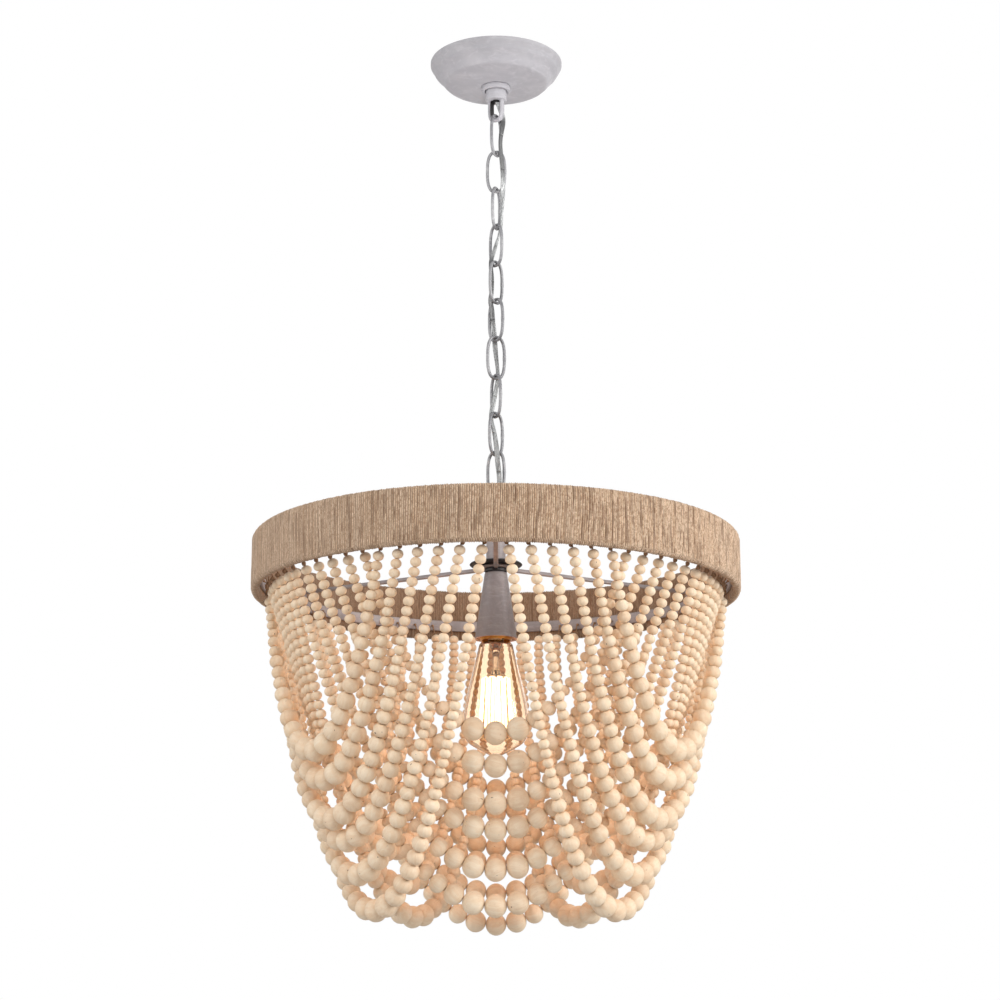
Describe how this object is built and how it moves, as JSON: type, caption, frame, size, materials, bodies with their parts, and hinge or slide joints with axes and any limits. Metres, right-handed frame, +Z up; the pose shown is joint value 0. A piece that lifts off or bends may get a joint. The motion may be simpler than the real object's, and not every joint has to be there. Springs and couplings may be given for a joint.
{
  "type": "beaded chandelier",
  "caption": "Pendant chandelier: chain and canopy, a twine-wrapped ring, swags of wooden beads woven in groups, and one filament lamp in a metal cup.",
  "frame": {"origin": "on the chandelier's axis in the ceiling plane, at the middle of the bracket's top face", "axes": "+Z up along the axis, the front seen in the picture faces -Y"},
  "size_m": [0.48, 0.48, 0.887],
  "materials": {
    "zinc_steel": "zinc plated",
    "washed_steel": "grey paint rubbed with white",
    "grey_steel": "satin grey paint",
    "black_steel": "satin black paint",
    "chain_steel": "satin",
    "cord": "clear jacket over two grey cores",
    "twine": "wound jute twine",
    "wood_beads": "bare turned wood",
    "brass": "satin",
    "amber_glass": "amber tinted, clear"
  },
  "bodies": {
    "ceiling": {"ceiling_crossbar": "zinc_steel", "ceiling_loop": "washed_steel", "supply_cord": "cord"},
    "canopy": {"canopy": "washed_steel"},
    "collar_ring": {"collar_ring": "washed_steel"},
    "link_01": {"chain_link_01": "chain_steel"},
    "link_02": {"chain_link_02": "chain_steel"},
    "link_03": {"chain_link_03": "chain_steel"},
    "link_04": {"chain_link_04": "chain_steel"},
    "link_05": {"chain_link_05": "chain_steel"},
    "link_06": {"chain_link_06": "chain_steel"},
    "link_07": {"chain_link_07": "chain_steel"},
    "link_08": {"chain_link_08": "chain_steel"},
    "link_09": {"chain_link_09": "chain_steel"},
    "link_10": {"chain_link_10": "chain_steel"},
    "fixture": {"fixture_loop": "grey_steel", "hub_washer": "black_steel", "hoop_frame": "grey_steel", "twine_wrap": "twine", "lock_ring": "black_steel", "socket_cup": "grey_steel", "lampholder": "brass", "bead_swag_1_1": "wood_beads", "bead_swag_1_2": "wood_beads", "bead_swag_1_3": "wood_beads", "bead_swag_1_4": "wood_beads", "bead_swag_1_5": "wood_beads", "bead_swag_1_6": "wood_beads", "bead_swag_2_1": "wood_beads", "bead_swag_2_2": "wood_beads", "bead_swag_2_3": "wood_beads", "bead_swag_2_4": "wood_beads", "bead_swag_2_5": "wood_beads", "bead_swag_2_6": "wood_beads", "bead_swag_3_1": "wood_beads", "bead_swag_3_2": "wood_beads", "bead_swag_3_3": "wood_beads", "bead_swag_3_4": "wood_beads", "bead_swag_3_5": "wood_beads", "bead_swag_3_6": "wood_beads", "bead_swag_4_1": "wood_beads", "bead_swag_4_2": "wood_beads", "bead_swag_4_3": "wood_beads", "bead_swag_4_4": "wood_beads", "bead_swag_4_5": "wood_beads", "bead_swag_4_6": "wood_beads", "bead_swag_5_1": "wood_beads", "bead_swag_5_2": "wood_beads", "bead_swag_5_3": "wood_beads", "bead_swag_5_4": "wood_beads", "bead_swag_5_5": "wood_beads", "bead_swag_5_6": "wood_beads", "bead_swag_6_1": "wood_beads", "bead_swag_6_2": "wood_beads", "bead_swag_6_3": "wood_beads", "bead_swag_6_4": "wood_beads", "bead_swag_6_5": "wood_beads", "bead_swag_6_6": "wood_beads"},
    "lamp": {"lamp_cap": "brass", "lamp_glass": "amber_glass"}
  },
  "joints": [
    {"name": "canopy_slide", "type": "slide", "parent": "ceiling", "child": "canopy", "axis": [0, 0, -1], "range_m": [0, 0.02]},
    {"name": "collar_turn", "type": "hinge", "parent": "canopy", "child": "collar_ring", "pos_m": [0, 0, -0.029], "axis": [0, 0, 1], "continuous": true},
    {"name": "link_01_swing", "type": "hinge", "parent": "ceiling", "child": "link_01", "pos_m": [0, 0, -0.0625], "axis": [0.866, -0.5, 0], "range_deg": [-35, 35], "deforming": ["supply_cord"]},
    {"name": "link_02_swing", "type": "hinge", "parent": "link_01", "child": "link_02", "pos_m": [0, 0, -0.10205], "axis": [-0.5299, -0.848, 0], "range_deg": [-35, 35], "deforming": ["supply_cord"]},
    {"name": "link_03_swing", "type": "hinge", "parent": "link_02", "child": "link_03", "pos_m": [0, 0, -0.14225], "axis": [-0.9962, 0.0872, 0], "range_deg": [-35, 35], "deforming": ["supply_cord"]},
    {"name": "link_04_swing", "type": "hinge", "parent": "link_03", "child": "link_04", "pos_m": [0, 0, -0.18245], "axis": [0.4067, 0.9135, 0], "range_deg": [-35, 35], "deforming": ["supply_cord"]},
    {"name": "link_05_swing", "type": "hinge", "parent": "link_04", "child": "link_05", "pos_m": [0, 0, -0.22265], "axis": [-0.6428, 0.766, 0], "range_deg": [-35, 35], "deforming": ["supply_cord"]},
    {"name": "link_06_swing", "type": "hinge", "parent": "link_05", "child": "link_06", "pos_m": [0, 0, -0.26285], "axis": [0.6691, 0.7431, 0], "range_deg": [-35, 35], "deforming": ["supply_cord"]},
    {"name": "link_07_swing", "type": "hinge", "parent": "link_06", "child": "link_07", "pos_m": [0, 0, -0.30305], "axis": [0.7431, -0.6691, 0], "range_deg": [-35, 35], "deforming": ["supply_cord"]},
    {"name": "link_08_swing", "type": "hinge", "parent": "link_07", "child": "link_08", "pos_m": [0, 0, -0.34325], "axis": [-0.9397, -0.342, 0], "range_deg": [-35, 35], "deforming": ["supply_cord"]},
    {"name": "link_09_swing", "type": "hinge", "parent": "link_08", "child": "link_09", "pos_m": [0, 0, -0.38345], "axis": [0.5, -0.866, 0], "range_deg": [-35, 35], "deforming": ["supply_cord"]},
    {"name": "link_10_swing", "type": "hinge", "parent": "link_09", "child": "link_10", "pos_m": [0, 0, -0.42365], "axis": [-0.7071, -0.7071, 0], "range_deg": [-35, 35], "deforming": ["supply_cord"]},
    {"name": "fixture_swing", "type": "hinge", "parent": "link_10", "child": "fixture", "pos_m": [0, 0, -0.46385], "axis": [-0.9063, 0.4226, 0], "range_deg": [-35, 35], "deforming": ["supply_cord"]},
    {"name": "lamp_pull", "type": "slide", "parent": "fixture", "child": "lamp", "axis": [0, 0, -1], "range_m": [0, 0.03]}
  ]
}
